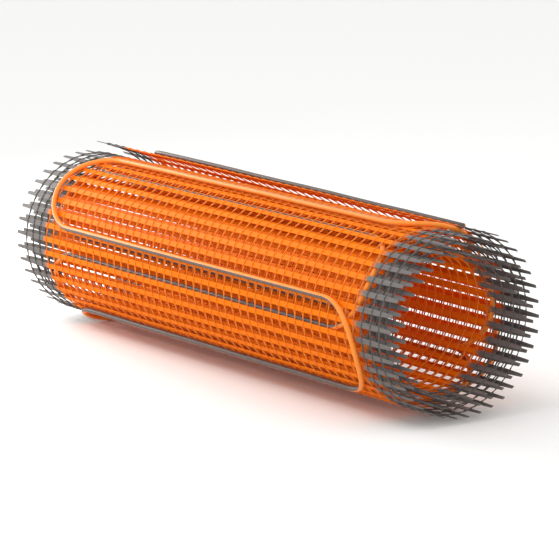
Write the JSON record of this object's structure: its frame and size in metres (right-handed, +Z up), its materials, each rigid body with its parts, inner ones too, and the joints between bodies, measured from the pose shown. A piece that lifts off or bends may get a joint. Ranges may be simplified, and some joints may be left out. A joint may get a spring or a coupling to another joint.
{
  "type": "underfloor heating mat",
  "caption": "Rolled underfloor heating mat: open mesh wound in a loose spiral around a hollow bore, with a looped heating cable on its outer face.",
  "frame": {"origin": "on the floor, under the middle of the roll's box", "axes": "+X along the roll's axis, the mat's width; +Y towards the far side, away from the side that the picture shows; +Z up"},
  "size_m": [0.5, 0.1402, 0.1374],
  "materials": {
    "mesh": "matt coated mesh, orange in the heated field and grey at both edges",
    "cable": "satin extruded sheath"
  },
  "bodies": {
    "root": {"mesh_mat": "mesh", "heating_cable": "cable"}
  },
  "joints": []
}
